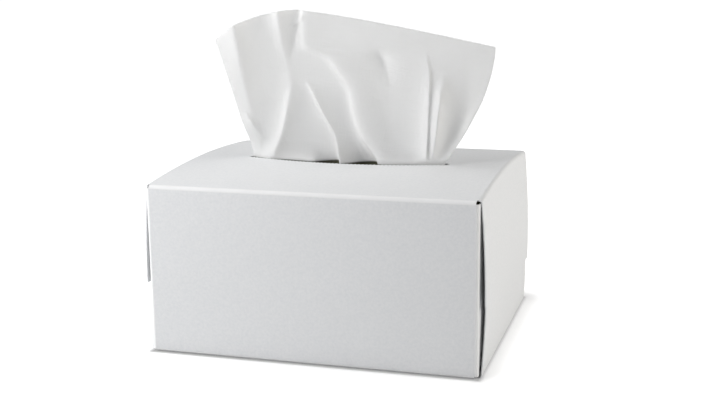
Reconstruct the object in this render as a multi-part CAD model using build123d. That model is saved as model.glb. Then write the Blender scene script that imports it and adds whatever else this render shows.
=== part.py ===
from build123d import *
from build123d.topology import SkipClean
import math
import os

# Box of lens cleaning tissues: a folded board carton, the pack of interfolded tissues inside it, and the
# tissue that stands up out of the slot. Millimetres. X runs along the box, Y from its front to its back,
# Z up, with the origin at the middle of the bottom.

# The carton's own sizes, over the folded panels
carton_length = 140.0
carton_depth = 116.0
carton_height = 72.0
board = 0.45
fold_radius = 1.4
top_rise = 3.0

# The closed ends: the inner flap stands up from the bottom, the outer flap hangs from the top over it.
# Both are cut from a bulged block that goes end_reach in from the end.
end_crown = 2.5
crown_height = 30.0
end_radius = 450.0
end_reach = 10.0
flap_inset = 2.4
inner_flap_height = 50.0
inner_flap_taper = 6.0
outer_flap_front_edge = 29.5
outer_flap_back_edge = 20.5
dust_flap_length = 42.0
dust_flap_inset = 2.6
dust_flap_taper = 9.0
glue_lap_height = 15.0

# The tear-out slot in the top panel, with the teeth that its perforation leaves
slot_end_margin = 25.0
slot_width = 17.0
slot_end_width = 3.0
tooth_pitch = 1.7
tooth_height = 0.7

# The pack of tissues, each folded once across its length, and the room round it in the carton
pack_end_room = 6.5
pack_side_room = 7.25
pack_head_room = 14.0
fold_pitch = 3.6
fold_bulge = 0.9
pack_seat = 0.1

# The tissue in the slot: gathered at the slot, fanned out above it, folded on the pack below it. Each bow
# is the power that its line curves by: 1 is straight.
tissue_thickness = 0.4
tissue_clearance = 0.35
tissue_stand = 65.5
tissue_peak_place = 0.3
tissue_left_drop = 13.0
tissue_right_drop = 15.0
left_edge_bow = 2.1
right_edge_bow = 1.2
fan_left = 60.0
fan_right = 65.0
left_side_flare = 0.5
right_side_bow = 1.7
opening_bow = 0.7
throat_end_margin = 1.0
sheet_rest = 2.0
crest_radius = 3.0
bend_radius = 4.5
lying_length = 40.0
crease_radius = 1.2
sheet_columns = 24
fan_rows = 6
throat_rows = 1
bend_rows = 2
lying_rows = 1
turn_rows = 2
tail_rows = 1

# Sizes that follow from those above
slot_length = carton_length - 2 * slot_end_margin
slot_level = carton_height + top_rise
sheet_width = carton_length - 2 * pack_end_room
sheet_length = 2 * (carton_depth - 2 * pack_side_room)
pack_height = carton_height - pack_head_room
pack_bottom = board + pack_seat
throat_half_width = slot_length / 2 - throat_end_margin


def slab(center_x, center_y, center_z, size_x, size_y, size_z):
    return Pos(center_x, center_y, center_z) * Box(size_x, size_y, size_z)


# The folded tube: front, top, back and bottom panels in one section

tube_half = carton_length / 2 - fold_radius
half_depth = carton_depth / 2
arch_radius = (half_depth**2 + top_rise**2) / (2 * top_rise)
arch_center = carton_height + top_rise - arch_radius


def tube_outline(layer):
    """The section through the four panels at a depth of layer below their outer faces."""
    side = half_depth - layer
    radius = arch_radius - layer
    corner = arch_center + math.sqrt(radius**2 - side**2)
    crown = arch_center + radius
    edges = [
        Line((-side, corner), (-side, layer)),
        Line((-side, layer), (side, layer)),
        Line((side, layer), (side, corner)),
        ThreePointArc((side, corner), (0, crown), (-side, corner)),
    ]
    face = make_face(Wire(edges))
    return fillet(face.vertices(), fold_radius - layer)


def tube_section():
    section = tube_outline(0) - tube_outline(board)
    # The blank's two ends meet at the back of the bottom: the lap goes up inside the back wall.
    lap_x = half_depth - board - fold_radius
    open_corner = Pos(half_depth - fold_radius / 2, fold_radius / 2) * Rectangle(
        fold_radius + 2 * board, fold_radius + 2 * board
    )
    section -= open_corner
    back_foot = board / 2
    back_wall = Pos(half_depth - board / 2, (back_foot + 2 * fold_radius) / 2) * Rectangle(
        board, 2 * fold_radius - back_foot
    )
    bend = Pos(lap_x, fold_radius) * (Circle(fold_radius) - Circle(fold_radius - board))
    bend &= Pos(lap_x + fold_radius / 2, fold_radius / 2) * Rectangle(fold_radius, fold_radius)
    lap_y = half_depth - 1.5 * board
    lap = Pos(lap_y, (fold_radius + glue_lap_height) / 2) * Rectangle(board, glue_lap_height - fold_radius)
    floor_end = Pos(lap_x - fold_radius, board / 2) * Rectangle(2 * fold_radius, board)
    return section + [back_wall, bend, lap, floor_end]


def carton_tube():
    section = Plane.YZ.offset(-tube_half) * tube_section()
    return extrude(section, 2 * tube_half)


# One closed end, at +X; the other is its mirror image


def bulged_end(layer, reach_z):
    """The space inside the end's bulge, a depth of layer in from the outer flap's face."""
    center_x = carton_length / 2 + end_crown - end_radius
    bulge = Pos(center_x, 0, crown_height) * Rot(90, 0, 0) * Cylinder(end_radius - layer, carton_depth)
    return slab(carton_length / 2, 0, reach_z, 2 * end_reach, carton_depth, 2 * carton_height) & bulge


def rounded(block, height_sign, radius):
    """The block with the edge rounded where its end meets its top or its bottom."""
    edge = max(block.edges(), key=lambda e: e.center().X + height_sign * e.center().Z)
    return fillet(edge, radius)


def flap_prism(points):
    outline = Plane.YZ.offset(tube_half) * make_face(Polyline(*points, close=True))
    return extrude(outline, 4 * fold_radius + end_crown)


def outer_flap():
    shells = []
    for layer in (0, board):
        arch = Pos(0, 0, arch_center) * Rot(0, 90, 0) * Cylinder(arch_radius - layer, 2 * carton_length)
        shells.append(rounded(bulged_end(layer, carton_height / 2) & arch, 1, fold_radius - layer))
    side = half_depth - flap_inset
    above = carton_height + top_rise + board
    prism = flap_prism(
        [(-side, above), (side, above), (side, outer_flap_back_edge), (-side, outer_flap_front_edge)]
    )
    return (shells[0] - shells[1]) & prism


def inner_flap():
    shells = []
    for layer in (board, 2 * board):
        block = bulged_end(layer, carton_height + layer - board)
        shells.append(rounded(block, -1, fold_radius + board - layer))
    side = half_depth - flap_inset
    top_side = side - inner_flap_taper
    prism = flap_prism(
        [(-side, 0), (side, 0), (top_side, inner_flap_height), (-top_side, inner_flap_height)]
    )
    return (shells[0] - shells[1]) & prism


def dust_flap():
    """The flap folded in from the front wall, behind the other two."""
    bend_y = fold_radius - half_depth
    bend = Pos(tube_half, bend_y) * (Circle(fold_radius) - Circle(fold_radius - board))
    bend &= Pos(tube_half + fold_radius / 2, bend_y - fold_radius / 2) * Rectangle(fold_radius, fold_radius)
    panel_length = dust_flap_length - fold_radius
    panel = Pos(carton_length / 2 - board / 2, bend_y + panel_length / 2) * Rectangle(board, panel_length)
    sheet = extrude(bend + panel, carton_height)
    low = dust_flap_inset
    high = carton_height - dust_flap_inset
    near = -half_depth - fold_radius
    far = near + dust_flap_length + 2 * fold_radius
    prism = flap_prism(
        [(near, low), (far, low + dust_flap_taper), (far, high - dust_flap_taper), (near, high)]
    )
    return sheet & prism


def closed_end():
    front_dust = dust_flap()
    back_dust = mirror(front_dust, about=Plane.XZ)
    return [outer_flap(), inner_flap(), front_dust, back_dust]


def slot_edge(x):
    """Half the slot's width at x: a long shallow bow between the two narrow ends."""
    bow = (slot_width - slot_end_width) / 2
    return slot_end_width / 2 + bow * (1 - (2 * x / slot_length) ** 2)


def slot_cutter():
    teeth = 2 * round(slot_length / tooth_pitch)
    front = []
    for i in range(teeth + 1):
        x = -slot_length / 2 + slot_length * i / teeth
        tooth = tooth_height / 2 * (-1) ** i
        front.append((x, -slot_edge(x) + tooth))
    back = [(x, -y) for x, y in reversed(front)]
    end_x = slot_length / 2 + slot_end_width / 2
    outline = make_face(Polyline(*front, (end_x, 0), *back, (-end_x, 0), close=True))
    return Pos(0, 0, carton_height - board - fold_radius) * extrude(outline, 4 * top_rise)


def carton():
    flaps = closed_end()
    far_flaps = [mirror(flap, about=Plane.YZ) for flap in flaps]
    # The panels keep their own faces where they meet, so no faces are merged across the folds.
    with SkipClean():
        return carton_tube() - slot_cutter() + flaps + far_flaps


# The pack of interfolded tissues: folds show in rows at the front and back, half a row apart


def fold_row(side, start, stop, count):
    """Rounded folds up one side of the pack, from start to stop."""
    step = (stop - start) / count
    edges = []
    for i in range(count):
        low = start + i * step
        edges.append(
            ThreePointArc(
                (side, low), (side + math.copysign(fold_bulge, side), low + step / 2), (side, low + step)
            )
        )
    return edges


def tissue_stack():
    half = sheet_length / 4
    rows = round(pack_height / fold_pitch)
    half_row = pack_height / rows / 2
    edges = fold_row(-half, 0, pack_height, rows)
    edges += fold_row(half, half_row, pack_height - half_row, rows - 1)
    edges += [
        Line((-half, 0), (half, 0)),
        Line((half, 0), (half, half_row)),
        Line((half, pack_height - half_row), (half, pack_height)),
        Line((-half, pack_height), (half, pack_height)),
    ]
    section = Plane.YZ.offset(-sheet_width / 2) * make_face(Wire(edges))
    return Pos(0, 0, pack_bottom) * extrude(section, sheet_width)


# The tissue: folds run up the fan from the points where the slot gathers it

# Each fold: its course from the slot up, as (height in % of the tissue's stand, place in % of the throat's
# half width, lift towards the front in mm), and how widely it falls off on its left and its right
folds = [
    ([(-2, -84, 8), (31, -66, 5), (61, -62, 4), (101, -68, 3)], 8.0, 7.0),
    ([(-2, -2, 13), (16, -12, 6), (31, -24, 4), (55, -38, 0)], 6.0, 8.0),
    ([(-2, 40, 12), (15, 26, 7), (30, 16, 6), (50, 6, 5), (70, -14, 4), (101, -40, 3)], 6.5, 20.0),
    ([(-2, 84, 8), (40, 88, 5), (75, 83, 0)], 7.0, 6.0),
]


def smooth_through(places, values, at):
    """The value at a place on a smooth curve through the values at the places, level at both ends."""
    at = min(max(at, places[0]), places[-1])
    last = len(places) - 1
    i = next(k for k in range(last) if at <= places[k + 1])

    def slope(k):
        if k in (0, last):
            return 0
        return (values[k + 1] - values[k - 1]) / (places[k + 1] - places[k - 1])

    gap = places[i + 1] - places[i]
    t = (at - places[i]) / gap
    start = values[i] * (1 + 2 * t) + slope(i) * gap * t
    end = values[i + 1] * (3 - 2 * t) - slope(i + 1) * gap * (1 - t)
    return start * (1 - t) ** 2 + end * t**2


def fold_depth(x, height):
    """How far the folds push the sheet back (+Y) at a point of the fan, a height over the slot."""
    depth = sheet_rest
    rise = 100 * height / tissue_stand
    for course, left_width, right_width in folds:
        heights, places, lifts = zip(*course)
        place = smooth_through(heights, places, rise) * throat_half_width / 100
        past = max(0, heights[0] - rise, rise - heights[-1]) * tissue_stand / 100
        distance = math.hypot(x - place, past)
        width = right_width if x > place else left_width
        fall = math.exp(-(math.hypot(distance, crest_radius) - crest_radius) / width)
        depth -= smooth_through(heights, lifts, rise) * fall
    return depth


def slot_room(x, height):
    """Room for the sheet each side of the middle of the slot, at a height over or under the panel."""
    room = slot_edge(min(abs(x), slot_length / 2)) - tooth_height / 2
    return room - tissue_clearance - tissue_thickness / 2 + max(0, abs(height) - tissue_clearance)


def in_room(depth, room):
    return room * math.tanh(depth / room)


def fan_height(q):
    """Height of the free edge over the slot at q, from 0 at the left corner to 1 at the right."""
    if q < tissue_peak_place:
        share = (tissue_peak_place - q) / tissue_peak_place
        return tissue_stand - tissue_left_drop * share**left_edge_bow
    share = (q - tissue_peak_place) / (1 - tissue_peak_place)
    return tissue_stand - tissue_right_drop * share**right_edge_bow


def fan_point(q, v):
    """A point above the slot: v is 0 in the slot and 1 at the free edge."""
    left_share = v + left_side_flare * v * (1 - v) ** 3
    right_share = 1 - (1 - v) ** right_side_bow
    spread = left_share * (1 - q) + right_share * q
    low_x = throat_half_width * (2 * q - 1)
    high_x = q * (fan_left + fan_right) - fan_left
    x = low_x + (high_x - low_x) * spread
    height = fan_height(q) * v
    return (x, in_room(fold_depth(x, height), slot_room(x, height)), slot_level + height)


# Below the slot the sheet goes down the throat, bends to the back, lies on the pack
# and folds back under itself

lower_level = pack_bottom + pack_height + tissue_clearance + tissue_thickness / 2
upper_level = lower_level + 2 * crease_radius
throat_drop = slot_level - upper_level - bend_radius
bend_length = bend_radius * math.pi / 2
turn_length = crease_radius * math.pi
tail_length = sheet_length - tissue_stand - throat_drop - bend_length - lying_length - turn_length
back_of_turn = bend_radius + lying_length
throat_wave_fade = 0.75
lying_wave = 0.25


def hidden_across(q, run):
    """The place along the box, a length of run below the slot: the gathers open out to the full width."""
    slot_x = throat_half_width * (2 * q - 1)
    flat_x = sheet_width * (q - 0.5)
    opened = min(1, run / (throat_drop + bend_length + lying_length))
    wave = fold_depth(slot_x, 0) * (1 - opened) ** 2
    return slot_x + (flat_x - slot_x) * opened**opening_bow, wave


def throat_point(q, share):
    run = share * throat_drop
    x, wave = hidden_across(q, run)
    depth = wave * (1 - throat_wave_fade * share)
    return (x, in_room(depth, slot_room(x, run)), slot_level - run)


def bend_point(q, share):
    x, wave = hidden_across(q, throat_drop + share * bend_length)
    radius = bend_radius - in_room(lying_wave * wave, crease_radius)
    angle = share * math.pi / 2
    return (x, bend_radius - radius * math.cos(angle), upper_level + bend_radius - radius * math.sin(angle))


def lying_point(q, share):
    x, wave = hidden_across(q, throat_drop + bend_length + share * lying_length)
    lift = in_room(lying_wave * wave, crease_radius) * (1 - share)
    return (x, bend_radius + share * lying_length, upper_level + lift)


def turn_point(q, share):
    angle = share * math.pi
    y = back_of_turn + crease_radius * math.sin(angle)
    return (sheet_width * (q - 0.5), y, lower_level + crease_radius * (1 + math.cos(angle)))


def tail_point(q, share):
    return (sheet_width * (q - 0.5), back_of_turn - share * tail_length, lower_level)


def tissue_rows():
    """The sheet's middle surface, row by row from the free edge down to the end that lies on the pack."""
    across = [i / sheet_columns for i in range(sheet_columns + 1)]
    rows = [[fan_point(q, 1 - i / fan_rows) for q in across] for i in range(fan_rows)]
    runs = [
        (throat_point, throat_rows),
        (bend_point, bend_rows),
        (lying_point, lying_rows),
        (turn_point, turn_rows),
        (tail_point, tail_rows),
    ]
    for point, steps in runs:
        rows += [[point(q, i / steps) for q in across] for i in range(steps)]
    rows.append([tail_point(q, 1) for q in across])
    return rows


def skin(rows, distance):
    """The rows moved along the surface's own normal, each as a list of points."""
    moved = []
    last_row = len(rows) - 1
    for i, row in enumerate(rows):
        line = []
        last = len(row) - 1
        for j in range(len(row)):
            down = Vector(rows[min(i + 1, last_row)][j]) - Vector(rows[max(i - 1, 0)][j])
            along = Vector(row[min(j + 1, last)]) - Vector(row[max(j - 1, 0)])
            line.append(Vector(row[j]) + along.cross(down).normalized() * distance)
        moved.append(line)
    return moved


def ruled_strips(curves):
    return [Face.make_surface_from_curves(upper, lower) for upper, lower in zip(curves, curves[1:])]


def pop_up_tissue():
    """Both skins and the rim between them, sewn into one closed sheet."""
    rows = tissue_rows()
    front = skin(rows, tissue_thickness / 2)
    back = skin(rows, -tissue_thickness / 2)
    front_curves = [Spline(*row) for row in front]
    back_curves = [Spline(*row) for row in back]
    faces = ruled_strips(front_curves) + ruled_strips(back_curves)
    for side in (0, -1):
        faces += ruled_strips([Line(near[side], far[side]) for near, far in zip(front, back)])
    for end in (0, -1):
        faces += ruled_strips([front_curves[end], back_curves[end]])
    return Solid(Shell(faces))


def write(name, shape):
    shape.label = name
    export_step(shape, os.path.join("parts", name + ".step"))


os.makedirs("parts", exist_ok=True)
write("carton", carton())
write("tissue_stack", tissue_stack())
write("pop_up_tissue", pop_up_tissue())
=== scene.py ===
import math
import bpy
import numpy as np
from mathutils import Matrix, Vector


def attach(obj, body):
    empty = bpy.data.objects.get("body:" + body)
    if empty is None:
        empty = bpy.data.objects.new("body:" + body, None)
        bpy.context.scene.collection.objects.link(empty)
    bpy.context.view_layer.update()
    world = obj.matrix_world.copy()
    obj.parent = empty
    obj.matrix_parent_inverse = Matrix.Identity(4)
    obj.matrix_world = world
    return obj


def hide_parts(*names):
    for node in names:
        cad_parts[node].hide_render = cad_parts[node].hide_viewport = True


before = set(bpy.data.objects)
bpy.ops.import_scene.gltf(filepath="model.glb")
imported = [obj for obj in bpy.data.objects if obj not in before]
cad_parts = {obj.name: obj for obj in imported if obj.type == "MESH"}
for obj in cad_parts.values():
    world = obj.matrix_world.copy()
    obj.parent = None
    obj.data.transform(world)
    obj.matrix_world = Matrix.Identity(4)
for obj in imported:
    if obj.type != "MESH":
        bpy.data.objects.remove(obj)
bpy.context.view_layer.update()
print("frame loaded")

millimetre = 0.001

# The carton's real sizes in millimetres, which the pieces below are fitted to

cartonPlan = {
    "length": 140.0,
    "depth": 116.0,
    "wallHeight": 72.0,
    "slotLevel": 75.0,
    "board": 0.45,
    "foldRadius": 1.4,
    "slotLength": 90.0,
    "slotWidth": 17.0,
    "slotEndWidth": 3.0,
    "toothHeight": 0.7,
}

# Camera: where the lens stood, how it was turned in degrees, and its focal length in the picture's pixels

cameraView = {
    "place": (0.1520, -0.5012, 0.1720),
    "yaw": 16.291,
    "pitch": 12.397,
    "roll": -0.6455,
    "focalPixels": 1204.22,
    "pictureWidth": 720,
    "sensorWidth": 36.0,
    "clipping": (0.01, 50),
}


def makeCamera(view):
    yaw, pitch, roll = (math.radians(view[turn]) for turn in ("yaw", "pitch", "roll"))
    ahead = Vector((-math.sin(yaw) * math.cos(pitch), math.cos(yaw) * math.cos(pitch), -math.sin(pitch)))
    side = ahead.cross(Vector((0, 0, 1))).normalized()
    over = side.cross(ahead)
    right = math.cos(roll) * side + math.sin(roll) * over
    up = math.cos(roll) * over - math.sin(roll) * side
    lens = bpy.data.cameras.new("photoCamera")
    lens.sensor_width = view["sensorWidth"]
    lens.lens = view["sensorWidth"] * (view["focalPixels"] / view["pictureWidth"])
    lens.clip_start, lens.clip_end = view["clipping"]
    holder = bpy.data.objects.new("photoCamera", lens)
    turn = Matrix((right, up, -ahead)).transposed().to_4x4()
    holder.matrix_world = Matrix.Translation(view["place"]) @ turn
    bpy.context.scene.collection.objects.link(holder)
    bpy.context.scene.camera = holder


makeCamera(cameraView)
print("camera placed")


# Colours and nodes


def linearColour(hexCode):
    # from sRGB, as colours are written, to the linear values that shaders take
    linear = []
    for first in (1, 3, 5):
        tone = int(hexCode[first:first + 2], 16) / 255
        linear.append(tone / 12.92 if tone <= 0.04045 else ((tone + 0.055) / 1.055) ** 2.4)
    return (*linear, 1.0)


def addNode(tree, kind, settings=None, links=None):
    # settings are the node's properties, or its sockets' values by name or number; links feed its sockets
    node = tree.nodes.new(kind)
    for key, value in (settings or {}).items():
        if isinstance(key, str) and hasattr(node, key):
            setattr(node, key, value)
        else:
            node.inputs[key].default_value = value
    for key, source in (links or {}).items():
        tree.links.new(source, node.inputs[key])
    return node


# The colour sockets of a Mix node go by number, because its other types have sockets of the same names
firstColour, secondColour, mixedColour = 6, 7, 2


def seenByLens(tree):
    # 1 for what the lens sees, straight, mirrored or through the sheet, and 0 for light that falls on things
    path = addNode(tree, "ShaderNodeLightPath")
    seen = addNode(tree, "ShaderNodeMath", {"operation": "MAXIMUM"},
                   {0: path.outputs["Is Camera Ray"], 1: path.outputs["Is Glossy Ray"]})
    seen = addNode(tree, "ShaderNodeMath", {"operation": "MAXIMUM"},
                   {0: seen.outputs[0], 1: path.outputs["Is Transmission Ray"]})
    return seen.outputs[0]


def newMaterial(name):
    material = bpy.data.materials.new(name)
    material.use_nodes = True
    material.node_tree.nodes.clear()
    return material, material.node_tree


# Studio: two softboxes on the left, one on the right and a faint light from all round, in a white surround

white = (1.0, 1.0, 1.0, 1.0)

studioPlan = {
    "worldLight": 0.10,
    "worldColour": "#EEF4FF",
    "boxes": [
        {"name": "nearLeftSoftbox", "place": (-0.30, -0.36, 0.28), "size": (0.24, 0.32), "watts": 1.34,
         "colour": "#FFFFFF"},
        {"name": "farLeftSoftbox", "place": (-0.68, -0.05, 0.50), "size": (0.50, 0.60), "watts": 3.4,
         "colour": "#FFFFFF"},
        {"name": "rightSoftbox", "place": (0.65, 0.02, 0.35), "size": (0.40, 0.50), "watts": 2.65,
         "colour": "#FFFCF6"},
    ],
    "aim": (0, 0, 0.07),
}


def makeStudio(plan):
    scene = bpy.context.scene
    scene.view_settings.view_transform = "Standard"
    world = bpy.data.worlds.new("studioWorld")
    scene.world = world
    world.use_nodes = True
    tree = world.node_tree
    tree.nodes.clear()
    lit = addNode(tree, "ShaderNodeBackground",
                  {"Color": linearColour(plan["worldColour"]), "Strength": plan["worldLight"]})
    shown = addNode(tree, "ShaderNodeBackground", {"Color": white, "Strength": 1.0})
    both = addNode(tree, "ShaderNodeMixShader", {},
                   {0: seenByLens(tree), 1: lit.outputs[0], 2: shown.outputs[0]})
    addNode(tree, "ShaderNodeOutputWorld", {}, {"Surface": both.outputs[0]})
    for box in plan["boxes"]:
        lamp = bpy.data.lights.new(box["name"], "AREA")
        lamp.shape = "RECTANGLE"
        lamp.size, lamp.size_y = box["size"]
        lamp.energy = box["watts"]
        lamp.color = linearColour(box["colour"])[:3]
        holder = bpy.data.objects.new(box["name"], lamp)
        holder.location = box["place"]
        towards = Vector(plan["aim"]) - Vector(box["place"])
        holder.rotation_euler = towards.to_track_quat("-Z", "Y").to_euler()
        scene.collection.objects.link(holder)


makeStudio(studioPlan)
print("studio lit")


# Floor: a matt painted sweep, which is lifted to white for the lens a little way off the carton and keeps the
# soft shadow close to it. Right at the carton the paint is darker: it stands for the contact shadow, which
# wide softboxes leave too light

floorPlan = {
    "size": 8.0,
    "colour": "#E6E6E6",
    "lift": (0.36, 1.0),
    "liftReach": (0.0, 0.019),
    "contactShade": 0.15,
    "contactReach": 0.0025,
}


def makeFloor(plan):
    half = plan["size"] / 2
    corners = [(-half, -half, 0), (half, -half, 0), (half, half, 0), (-half, half, 0)]
    mesh = bpy.data.meshes.new("floor")
    mesh.from_pydata(corners, [], [(0, 1, 2, 3)])
    floor = bpy.data.objects.new("floor", mesh)
    bpy.context.scene.collection.objects.link(floor)
    mesh.materials.append(paintedSweep(plan))


def paintedSweep(plan):
    material, tree = newMaterial("mattPaintedSweep")
    # how far a point lies outside the carton's footprint: the length of max(|place| - half size, 0)
    footprint = (cartonPlan["length"] / 2 * millimetre, cartonPlan["depth"] / 2 * millimetre, 0.0)
    place = addNode(tree, "ShaderNodeTexCoord")
    outside = addNode(tree, "ShaderNodeVectorMath", {"operation": "ABSOLUTE"}, {0: place.outputs["Object"]})
    outside = addNode(tree, "ShaderNodeVectorMath", {"operation": "SUBTRACT", 1: footprint},
                      {0: outside.outputs[0]})
    outside = addNode(tree, "ShaderNodeVectorMath", {"operation": "MAXIMUM", 1: (0, 0, 0)},
                      {0: outside.outputs[0]})
    far = addNode(tree, "ShaderNodeVectorMath", {"operation": "LENGTH"}, {0: outside.outputs[0]})
    near, beyond = plan["liftReach"]
    low, high = plan["lift"]
    lift = addNode(tree, "ShaderNodeMapRange",
                   {"interpolation_type": "SMOOTHSTEP", "From Min": near, "From Max": beyond,
                    "To Min": low, "To Max": high},
                   {"Value": far.outputs["Value"]})
    lift = addNode(tree, "ShaderNodeMath", {"operation": "MULTIPLY"},
                   {0: seenByLens(tree), 1: lift.outputs[0]})
    tone = linearColour(plan["colour"])
    shade = tuple(plan["contactShade"] * channel for channel in tone[:3]) + (1.0,)
    touch = addNode(tree, "ShaderNodeMapRange", {"From Min": 0.0, "From Max": plan["contactReach"]},
                    {"Value": far.outputs["Value"]})
    colour = addNode(tree, "ShaderNodeMix", {"data_type": "RGBA", firstColour: shade, secondColour: tone},
                     {0: touch.outputs[0]})
    paint = addNode(tree, "ShaderNodeBsdfDiffuse", {}, {"Color": colour.outputs[mixedColour]})
    glow = addNode(tree, "ShaderNodeEmission", {"Color": white}, {"Strength": lift.outputs[0]})
    both = addNode(tree, "ShaderNodeAddShader", {}, {0: paint.outputs[0], 1: glow.outputs[0]})
    addNode(tree, "ShaderNodeOutputMaterial", {}, {"Surface": both.outputs[0]})
    return material


makeFloor(floorPlan)
print("floor laid")


# Surfaces from grids of points


def gridPiece(name, grids, smooth):
    # each grid is rows x columns x 3 in millimetres, and its neighbours are joined as quads
    faces = []
    first = 0
    for grid in grids:
        rows, columns = grid.shape[:2]
        index = first + np.arange(rows * columns).reshape(rows, columns)
        quads = np.stack([index[:-1, :-1], index[:-1, 1:], index[1:, 1:], index[1:, :-1]], axis=-1)
        faces.append(quads.reshape(-1, 4))
        first += rows * columns
    faces = np.concatenate(faces)
    places = np.concatenate([grid.reshape(-1, 3) for grid in grids]) * millimetre
    mesh = bpy.data.meshes.new(name)
    mesh.vertices.add(len(places))
    mesh.vertices.foreach_set("co", places.ravel())
    mesh.loops.add(faces.size)
    mesh.loops.foreach_set("vertex_index", faces.ravel())
    mesh.polygons.add(len(faces))
    mesh.polygons.foreach_set("loop_start", np.arange(0, faces.size, 4))
    mesh.update(calc_edges=True)
    mesh.polygons.foreach_set("use_smooth", np.full(len(faces), smooth))
    piece = bpy.data.objects.new(name, mesh)
    bpy.context.scene.collection.objects.link(piece)
    return piece


def unroll(piece, flatPlaces):
    # flatPlaces holds (u, v) for each point of the piece's one grid, both in sheet widths
    mesh = piece.data
    corners = np.zeros(len(mesh.loops), int)
    mesh.loops.foreach_get("vertex_index", corners)
    layer = mesh.uv_layers.new(name="sheetUv")
    layer.data.foreach_set("uv", flatPlaces.reshape(-1, 2)[corners].ravel())


def thicken(piece, name, thickness):
    wall = piece.modifiers.new(name, "SOLIDIFY")
    wall.thickness = thickness * millimetre
    wall.offset = 0


def smoothThrough(places, values, at):
    # a cubic through the given values, level at both ends, elsewhere as steep as the line between a place's
    # neighbours
    places, values = np.asarray(places, float), np.asarray(values, float)
    slopes = np.zeros(len(places))
    slopes[1:-1] = (values[2:] - values[:-2]) / (places[2:] - places[:-2])
    at = np.clip(at, places[0], places[-1])
    last = np.clip(np.searchsorted(places, at) - 1, 0, len(places) - 2)
    gap = places[last + 1] - places[last]
    way = (at - places[last]) / gap
    leaving = values[last] * (1 + 2 * way) * (1 - way) ** 2 + slopes[last] * gap * way * (1 - way) ** 2
    arriving = values[last + 1] * way**2 * (3 - 2 * way) - slopes[last + 1] * gap * way**2 * (1 - way)
    return leaving + arriving


# The drawn tissue: gathered by the slot, fanned out above it, and folded on the pack below; millimetres

tissuePlan = {
    "width": 127.0,
    "length": 203.0,
    "thickness": 0.16,
    "clearance": 0.35,
    "throatHalfWidth": 44.0,
    "fanLeft": 60.0,
    "fanRight": 65.0,
    "leftSideFlare": 0.5,
    "flareFade": 3,
    "rightSideBow": 1.7,
    "peakHeight": 65.5,
    "peakPlace": 0.3,
    "leftDrop": 13.0,
    "leftEdgeBow": 2.1,
    "rightDrop": 15.0,
    "rightEdgeBow": 1.2,
    "openingBow": 0.7,
    "throatCalm": 0.75,
    "bendRadius": 4.5,
    "lyingLength": 40.0,
    "lyingWaves": 0.25,
    "creaseRadius": 1.2,
    "packTop": 58.55,
    "columns": 320,
    "fanRows": 96,
    "hiddenRows": 40,
}

# Where the sheet stands with no fold: behind the slot's middle, and further back near the slot
sheetRest = {"above": 2.2, "foot": 2.8, "reach": 14.0}

# A fold's lean off the upright is taken over a step of height, and counts up to a steepest lean
foldLean = {"step": 0.5, "steepest": 0.6}

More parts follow.
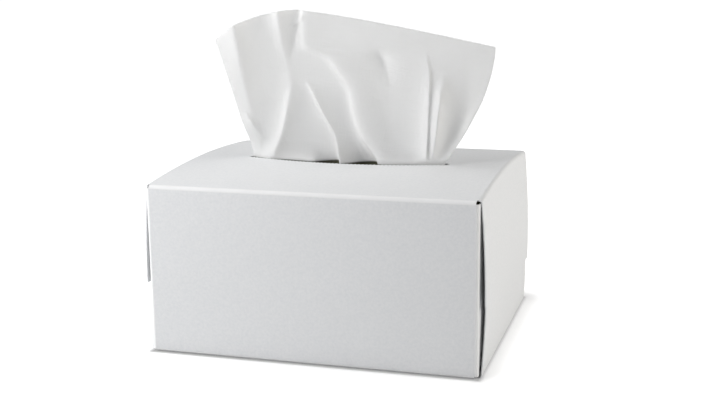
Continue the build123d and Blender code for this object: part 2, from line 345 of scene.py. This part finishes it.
# Each fold up the sheet: heights over the slot, its places along the sheet there and its lifts towards the
# front; how far it falls off on its left and its right, where several numbers go with the heights; how round
# its crest is; and, for a crease that starts low, the share it starts with and how far it climbs on its right
tissueFolds = {
    "leftMargin": {"heights": (-1, 10, 19, 30, 44, 66), "places": (-42, -43.6, -44.7, -46.3, -47.7, -49.5),
                   "lifts": (0.5, 2, 3.5, 5, 7.5, 10), "left": 16, "right": 5, "crest": 1.5},
    "lowLeftTuck": {"heights": (8, 15.6, 22), "places": (-41, -44.4, -48),
                    "lifts": (0.5, 1.5, 0), "left": 3, "right": 1, "crest": 0.5},
    "leftRidge": {"heights": (-1, 9.6, 20, 29, 40, 51, 66),
                  "places": (-35.5, -31, -27.5, -26, -27, -29, -30.5),
                  "lifts": (5, 2.8, 2.3, 1.9, 1.2, 2.8, 3.6), "left": 3, "right": 3, "crest": 1.5},
    "tentFoot": {"heights": (-1, 3, 8), "places": (-15, -16, -18),
                 "lifts": (12, 4, 0), "left": 22, "right": 6, "crest": 2},
    "tentSlope": {"heights": (0, 14, 26, 36), "places": (-33, -29, -26.5, -25),
                  "lifts": (2, 2.5, 2.2, 0), "left": 1.2, "right": 9, "crest": 0.8},
    "channel": {"heights": (38, 50, 60, 66), "places": (-27, -25, -23, -22.5),
                "lifts": (0, -2, -2.5, -2.5), "left": 3, "right": 2, "crest": 1},
    "tentSeam": {"heights": (-1, 0.9, 10.5, 20.5, 29.2, 36), "places": (-1.2, -1.5, -5, -10.3, -14.8, -19),
                 "lifts": (18, 14, 5, 4, 3, 0), "left": 0.9, "right": 6, "crest": 0.5},
    "mainCrease": {"heights": (-1, 0.9, 4.4, 9.5, 18.2, 26, 31.6, 41.5, 45.7, 48.6, 53.8, 62.4, 66),
                   "places": (15.5, 15, 11.9, 7.9, 4.4, 2.7, 1.4, -5.3, -9.7, -17.9, -20.1, -20.3, -20.3),
                   "lifts": (24, 20, 12, 8.5, 7, 6.5, 6, 5.5, 4.5, 3, 2.8, 3.2, 3.8),
                   "left": 1.2, "right": (18, 18, 17, 16, 14, 12, 11, 8, 7, 6, 5, 5, 5), "crest": 0.6,
                   "start": 0.45, "climb": 5},
    "dimple": {"heights": (32, 40, 45, 51), "places": (19, 17, 15.2, 13.5),
               "lifts": (-0.4, -1.8, -2.5, 0), "left": 3.5, "right": 2.8, "crest": 1.5},
    "hollow": {"heights": (0, 5, 22, 36, 46), "places": (22, 21, 17, 12, 8),
               "lifts": (-1, -1.2, -1.2, -0.8, 0), "left": 7, "right": 8, "crest": 3},
    "rightRidge": {"heights": (-1, 1, 15, 28, 39, 50), "places": (37, 36.9, 37, 37.2, 36.8, 35),
                   "lifts": (8, 4, 1.9, 1.8, 1.4, 0), "left": 3.2, "right": 0.4, "crest": 0.3},
    "secondRightRidge": {"heights": (-1, 0.8, 11, 22, 28, 40), "places": (38.5, 39, 40.8, 41.9, 42.3, 41.8),
                         "lifts": (3, 6, 8.5, 8, 6.2, 0), "left": 5, "right": 3, "crest": 0.4},
    "rightSliver": {"heights": (23, 32, 40), "places": (45, 43.6, 42.7),
                    "lifts": (0, 1.2, 0), "left": 1.2, "right": 1.5, "crest": 0.4},
    "rightPanel": {"heights": (4, 25, 48), "places": (50, 52, 54),
                   "lifts": (-1, -2.2, 0), "left": 6, "right": 6, "crest": 3},
    "rightRim": {"heights": (-1, 6.7, 13.3, 20, 30), "places": (44, 48.5, 52.5, 55.5, 59),
                 "lifts": (4, 4.5, 4.2, 3.2, 0), "left": 2.4, "right": 4, "crest": 0.6},
    "topCreaseOne": {"heights": (54, 58, 62.6), "places": (-29.1, -25.4, -21.5),
                     "lifts": (0, 0.8, 0.7), "left": 0.7, "right": 0.6, "crest": 0.3},
    "topCreaseTwo": {"heights": (55, 59, 62.7), "places": (-26.7, -23.4, -20.1),
                     "lifts": (0, 0.7, 0.6), "left": 0.6, "right": 0.6, "crest": 0.3},
}


def foldDepth(x, height, folds):
    # how far back the sheet stands: its rest, less the sum over the folds of lift times
    # exp(-distance / width), with the distance taken off the fold's course; on the right of a crease that
    # starts low, the lift is also times a climb from its start to 1
    depth = sheetRest["above"] + sheetRest["foot"] * np.exp(-np.abs(height) / sheetRest["reach"])
    step, steepest = foldLean["step"], foldLean["steepest"]
    for fold in folds.values():
        heights = fold["heights"]
        course = smoothThrough(heights, fold["places"], height)
        ahead = smoothThrough(heights, fold["places"], height + step)
        lean = np.clip((ahead - course) / step, -steepest, steepest)
        off = (x - course) / np.hypot(1, lean)
        past = np.maximum(0, np.maximum(heights[0] - height, height - heights[-1]))
        crest = fold["crest"]
        away = np.hypot(np.hypot(off, past), crest) - crest
        right = smoothThrough(heights, np.broadcast_to(fold["right"], len(heights)), height)
        fall = np.exp(-away / np.where(off > 0, right, fold["left"]))
        start = fold.get("start", 1.0)
        climb = start + (1 - start) * (1 - np.exp(-np.maximum(off, 0) / fold.get("climb", 1.0)))
        depth -= smoothThrough(heights, fold["lifts"], height) * fall * climb
    return depth


def slotRoom(x, height, plan):
    # half the slot's width there, less half a tooth, a clearance and half the sheet; it grows off the panel
    slotWidth, endWidth = cartonPlan["slotWidth"], cartonPlan["slotEndWidth"]
    share = np.clip(np.abs(x) / (cartonPlan["slotLength"] / 2), 0, 1)
    edge = endWidth / 2 + (slotWidth - endWidth) / 2 * (1 - share**2)
    room = edge - cartonPlan["toothHeight"] / 2 - plan["clearance"] - plan["thickness"] / 2
    return room + np.maximum(0, np.abs(height) - plan["clearance"])


def inRoom(depth, room):
    # the depth where there is room for it, eased off towards the room's limits
    return room * np.tanh(depth / room)


def fanPoints(across, up, plan):
    # from the gathered line in the slot (up 0) to the free edge (up 1): x spreads from the throat's width to
    # the fan's, z climbs to an edge that drops off both ways from its peak, and y follows the folds
    toLeft = up + plan["leftSideFlare"] * up * (1 - up) ** plan["flareFade"]
    toRight = 1 - (1 - up) ** plan["rightSideBow"]
    spread = toLeft * (1 - across) + toRight * across
    low = plan["throatHalfWidth"] * (2 * across - 1)
    high = across * (plan["fanLeft"] + plan["fanRight"]) - plan["fanLeft"]
    x = low + (high - low) * spread
    peak = plan["peakPlace"]
    leftDrop = plan["leftDrop"] * np.maximum(0, (peak - across) / peak) ** plan["leftEdgeBow"]
    rightDrop = plan["rightDrop"] * np.maximum(0, (across - peak) / (1 - peak)) ** plan["rightEdgeBow"]
    height = (plan["peakHeight"] - leftDrop - rightDrop) * up
    y = inRoom(foldDepth(x, height, tissueFolds), slotRoom(x, height, plan))
    return np.stack([x, y, cartonPlan["slotLevel"] + height], axis=-1)


def hiddenPoints(across, run, plan):
    # down the throat, a quarter bend to the back, flat on the pack, a U-turn and flat again to the front; the
    # sheet opens out to its full width and its waves calm down on the way
    level = cartonPlan["slotLevel"]
    bend, lying, crease = plan["bendRadius"], plan["lyingLength"], plan["creaseRadius"]
    lower = plan["packTop"] + plan["clearance"] + plan["thickness"] / 2
    upper = lower + 2 * crease
    drop = level - upper - bend
    bendLength = bend * math.pi / 2
    turnLength = crease * math.pi
    pastDrop = run - drop
    pastBend = pastDrop - bendLength
    pastLying = pastBend - lying
    pastTurn = pastLying - turnLength
    atSlot = plan["throatHalfWidth"] * (2 * across - 1)
    opened = np.clip(run / (drop + bendLength + lying), 0, 1)
    x = atSlot + (plan["width"] * (across - 0.5) - atSlot) * opened ** plan["openingBow"]
    waves = foldDepth(atSlot, np.zeros_like(atSlot), tissueFolds) * (1 - opened) ** 2
    ripple = inRoom(plan["lyingWaves"] * waves, crease)
    calm = 1 - plan["throatCalm"] * np.clip(run / drop, 0, 1)
    throatY = inRoom(waves * calm, slotRoom(atSlot, -run, plan))
    angle = np.clip(pastDrop, 0, bendLength) / bend
    radius = bend - ripple
    turn = np.clip(pastLying, 0, turnLength) / crease
    stretches = [pastDrop <= 0, pastBend <= 0, pastLying <= 0, pastTurn <= 0]
    y = np.select(
        stretches,
        [throatY, bend - radius * np.cos(angle), bend + pastBend, bend + lying + crease * np.sin(turn)],
        bend + lying - pastTurn)
    z = np.select(
        stretches,
        [level - run, upper + bend - radius * np.sin(angle),
         upper + ripple * (1 - pastBend / lying), lower + crease * (1 + np.cos(turn))],
        lower)
    return np.stack([x, y, z], axis=-1)


def makeTissue(plan):
    across = np.linspace(0, 1, plan["columns"] + 1)
    up = np.linspace(1, 0, plan["fanRows"] + 1)
    run = np.linspace(0, plan["length"] - plan["peakHeight"], plan["hiddenRows"] + 1)[1:]
    fanAcross, fanUp = np.meshgrid(across, up)
    hiddenAcross, hiddenRun = np.meshgrid(across, run)
    points = np.concatenate([fanPoints(fanAcross, fanUp, plan), hiddenPoints(hiddenAcross, hiddenRun, plan)])
    down = np.concatenate([(1 - fanUp) * plan["peakHeight"], plan["peakHeight"] + hiddenRun]) / plan["width"]
    tissue = gridPiece("drawnTissue", [points], True)
    unroll(tissue, np.stack([np.concatenate([fanAcross, hiddenAcross]), down], axis=-1))
    thicken(tissue, "tissueThickness", plan["thickness"])
    return tissue


drawnTissue = makeTissue(tissuePlan)
print("tissue drawn")


# The pack below: interfolded sheets, folded in half, with their rounded folds in rows at the front and back

packPlan = {
    "width": tissuePlan["width"],
    "depth": tissuePlan["length"] / 2,
    "bottom": 0.55,
    "top": tissuePlan["packTop"],
    "folds": 32,
    "bulge": 0.9,
    "fullness": 0.6,
    "foldPoints": 8,
    "panelPoints": 22,
    "columns": 60,
    "waver": 0.125,
    "waverAlong": 0.21,
    "waverUp": 1.7,
}


def makePack(plan):
    # the outline across the pack: bulges |sin| ** fullness up one side and down the other, joined flat over
    # the top and the bottom, and wavering a little along the pack
    fold = np.linspace(0, plan["folds"], plan["folds"] * plan["foldPoints"] + 1)
    bulge = plan["bulge"] * np.abs(np.sin(np.pi * fold)) ** plan["fullness"]
    rise = plan["bottom"] + (plan["top"] - plan["bottom"]) * fold / plan["folds"]
    half = plan["depth"] / 2
    over = np.linspace(-half, half, plan["panelPoints"] + 2)[1:-1]
    flat = np.zeros(over.size)
    y = np.concatenate([-half - bulge, over, half + bulge[::-1], -over, [-half - bulge[0]]])
    z = np.concatenate([rise, flat + rise[-1], rise[::-1], flat + rise[0], [rise[0]]])
    bulging = np.concatenate([bulge, flat, bulge[::-1], flat, [bulge[0]]]) > 0
    x = np.linspace(-plan["width"] / 2, plan["width"] / 2, plan["columns"] + 1)[:, None]
    waver = plan["waver"] * np.abs(np.sin(plan["waverAlong"] * x) * np.sin(plan["waverUp"] * z)) * bulging
    points = np.stack(np.broadcast_arrays(x, y - np.sign(y) * waver, z), axis=-1)
    pack = gridPiece("packedTissues", [points], True)
    unroll(pack, np.stack(np.broadcast_arrays(x, z), axis=-1) / plan["width"])
    return pack


packedTissues = makePack(packPlan)
print("pack folded")


# The dust flaps' shoulders: at both ends of each upright fold the board goes on round the corner, nearly to
# the carton's top and bottom. The CAD's dust flaps stop short of there

shoulderPlan = {
    "levels": ((1.2, 3.4), (68.6, 70.9)),
    "panel": 2.2,
    "bendSteps": 10,
    "proud": 0.02,
}


def makeShoulders(plan):
    # each strip is a quarter turn from the wall to the end, then a short flat stretch along the dust flap
    foldX = cartonPlan["length"] / 2 - cartonPlan["foldRadius"]
    foldY = cartonPlan["depth"] / 2 - cartonPlan["foldRadius"]
    radius = cartonPlan["foldRadius"] - cartonPlan["board"] / 2
    angle = np.linspace(0, math.pi / 2, plan["bendSteps"] + 1)
    x = np.append(foldX + radius * np.sin(angle), foldX + radius)
    y = np.append(foldY + radius * np.cos(angle), foldY - plan["panel"])
    strips = []
    for end in (-1, 1):
        for side in (-1, 1):
            for levels in plan["levels"]:
                heights = np.array(levels)[:, None]
                strips.append(np.stack(np.broadcast_arrays(end * x, side * y, heights), axis=-1))
    shoulders = gridPiece("dustFlapShoulders", strips, False)
    thicken(shoulders, "boardThickness", cartonPlan["board"] + plan["proud"])
    return shoulders


dustFlapShoulders = makeShoulders(shoulderPlan)
print("corners closed")


# Bleached paperboard, clay-coated and calendered: near white, satin, with a faint fibre mottle, which is
# drawn coarser than the real one so that it shows

boardLook = {
    "colour": "#F6F6F6",
    "shade": "#E4E6E8",
    # the colour of the painted highlight along the folds
    "foldHighlightColour": "#FCFCFC",
    "roughness": 0.55,
    "specular": 0.35,
    "mottle": 1.1,
    "mottleDetail": 3.0,
    "mottleRoughness": 0.6,
    "grain": 0.35,
    "grainDetail": 2.0,
    "bump": 0.012,
    "bumpStrength": 0.5,
    "foldWidth": 1.6,
    "foldSoftness": 0.5,
}


def paintedFoldHighlight(tree, place, look):
    # 1 on the folds where a wall meets the top, the bottom or an end, where the board gets a painted
    # highlight. near is 1 within a fold's width of the box's faces along X, Y and Z in turn, and a fold is
    # where Y and one other are near
    halfSize = (cartonPlan["length"] / 2, cartonPlan["depth"] / 2, cartonPlan["wallHeight"] / 2)
    middle = (0, 0, halfSize[2] * millimetre)
    centred = addNode(tree, "ShaderNodeVectorMath", {"operation": "SUBTRACT", 1: middle},
                      {0: place.outputs["Object"]})
    centred = addNode(tree, "ShaderNodeVectorMath", {"operation": "ABSOLUTE"}, {0: centred.outputs[0]})
    axes = addNode(tree, "ShaderNodeSeparateXYZ", {}, {0: centred.outputs[0]})
    near = []
    for axis, half in enumerate(halfSize):
        inner = (half - look["foldWidth"]) * millimetre
        edge = {"From Min": inner, "From Max": inner + look["foldSoftness"] * millimetre}
        near.append(addNode(tree, "ShaderNodeMapRange", edge, {"Value": axes.outputs[axis]}).outputs[0])
    other = addNode(tree, "ShaderNodeMath", {"operation": "MAXIMUM"}, {0: near[0], 1: near[2]})
    fold = addNode(tree, "ShaderNodeMath", {"operation": "MULTIPLY"}, {0: near[1], 1: other.outputs[0]})
    return fold.outputs[0]


def coatedBoard(look):
    material, tree = newMaterial("clayCoatedBoard")
    place = addNode(tree, "ShaderNodeTexCoord")
    mottle = addNode(tree, "ShaderNodeTexNoise",
                     {"Scale": 1 / (look["mottle"] * millimetre), "Detail": look["mottleDetail"],
                      "Roughness": look["mottleRoughness"]},
                     {"Vector": place.outputs["Object"]})
    grain = addNode(tree, "ShaderNodeTexNoise",
                    {"Scale": 1 / (look["grain"] * millimetre), "Detail": look["grainDetail"]},
                    {"Vector": place.outputs["Object"]})
    colour = addNode(tree, "ShaderNodeMix",
                     {"data_type": "RGBA", firstColour: linearColour(look["shade"]),
                      secondColour: linearColour(look["colour"])},
                     {0: mottle.outputs[0]})
    # the folds are painted lighter: a painted highlight where the rounded folds catch the light
    colour = addNode(tree, "ShaderNodeMix", {"data_type": "RGBA", secondColour: linearColour(look["foldHighlightColour"])},
                     {0: paintedFoldHighlight(tree, place, look), firstColour: colour.outputs[mixedColour]})
    bump = addNode(tree, "ShaderNodeBump",
                   {"Strength": look["bumpStrength"], "Distance": look["bump"] * millimetre},
                   {"Height": grain.outputs[0]})
    shader = addNode(tree, "ShaderNodeBsdfPrincipled",
                     {"Roughness": look["roughness"], "Specular IOR Level": look["specular"]},
                     {"Base Color": colour.outputs[mixedColour], "Normal": bump.outputs[0]})
    addNode(tree, "ShaderNodeOutputMaterial", {}, {"Surface": shader.outputs[0]})
    return material


# Lens tissue: thin long-fibre paper, uncoated and unsized, matt and a little translucent, with a fine cross
# grain, which is drawn coarser than the real one so that it shows. Below the slot's level it has a darker
# tone, which stands for the shade inside the carton

tissueLook = {
    "colour": "#F4F4F4",
    "through": "#F7F7F6",
    "inTheSlot": "#606050",
    "slotFade": 0.6,
    "throughShare": 0.35,
    "roughness": 0.85,
    "specular": 0.2,
    "grain": 1.2,
    "grainStretch": 6.0,
    "grainDetail": 2.0,
    "bump": 0.20,
    "bumpStrength": 0.6,
}


def crossGrain(tree, place, look):
    # fibres along the sheet and across it: the same noise stretched one way and the other, and added up
    lays = []
    for long in (0, 1):
        scale = [tissuePlan["width"] / look["grain"]] * 2 + [1.0]
        scale[long] /= look["grainStretch"]
        turned = addNode(tree, "ShaderNodeMapping", {"Scale": scale}, {"Vector": place.outputs["UV"]})
        noise = addNode(tree, "ShaderNodeTexNoise", {"Scale": 1.0, "Detail": look["grainDetail"]},
                        {"Vector": turned.outputs[0]})
        lays.append(noise.outputs[0])
    weave = addNode(tree, "ShaderNodeMath", {"operation": "ADD"}, {0: lays[0], 1: lays[1]})
    return weave.outputs[0]


def lensTissue(look):
    material, tree = newMaterial("longFibreTissue")
    place = addNode(tree, "ShaderNodeTexCoord")
    bump = addNode(tree, "ShaderNodeBump",
                   {"Strength": look["bumpStrength"], "Distance": look["bump"] * millimetre},
                   {"Height": crossGrain(tree, place, look)})
    slotLevel = cartonPlan["slotLevel"] * millimetre
    axes = addNode(tree, "ShaderNodeSeparateXYZ", {}, {0: place.outputs["Object"]})
    above = addNode(tree, "ShaderNodeMapRange",
                    {"From Min": slotLevel - look["slotFade"] * millimetre, "From Max": slotLevel},
                    {"Value": axes.outputs["Z"]})
    tones = []
    for tone in ("colour", "through"):
        mixed = addNode(tree, "ShaderNodeMix",
                        {"data_type": "RGBA", firstColour: linearColour(look["inTheSlot"]),
                         secondColour: linearColour(look[tone])},
                        {0: above.outputs[0]})
        tones.append(mixed.outputs[mixedColour])
    front = addNode(tree, "ShaderNodeBsdfPrincipled",
                    {"Roughness": look["roughness"], "Specular IOR Level": look["specular"]},
                    {"Base Color": tones[0], "Normal": bump.outputs[0]})
    through = addNode(tree, "ShaderNodeBsdfTranslucent", {}, {"Color": tones[1], "Normal": bump.outputs[0]})
    both = addNode(tree, "ShaderNodeMixShader", {0: look["throughShare"]},
                   {1: front.outputs[0], 2: through.outputs[0]})
    addNode(tree, "ShaderNodeOutputMaterial", {}, {"Surface": both.outputs[0]})
    return material


def dress(piece, material):
    piece.data.materials.clear()
    piece.data.materials.append(material)


boardMaterial = coatedBoard(boardLook)
tissueMaterial = lensTissue(tissueLook)
dress(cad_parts["carton"], boardMaterial)
dress(dustFlapShoulders, boardMaterial)
dress(drawnTissue, tissueMaterial)
dress(packedTissues, tissueMaterial)
print("materials dressed")

# What rides where, and which CAD solids the drawn pieces stand for

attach(drawnTissue, "root")
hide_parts("pop_up_tissue")
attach(packedTissues, "root")
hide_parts("tissue_stack")
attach(dustFlapShoulders, "root")
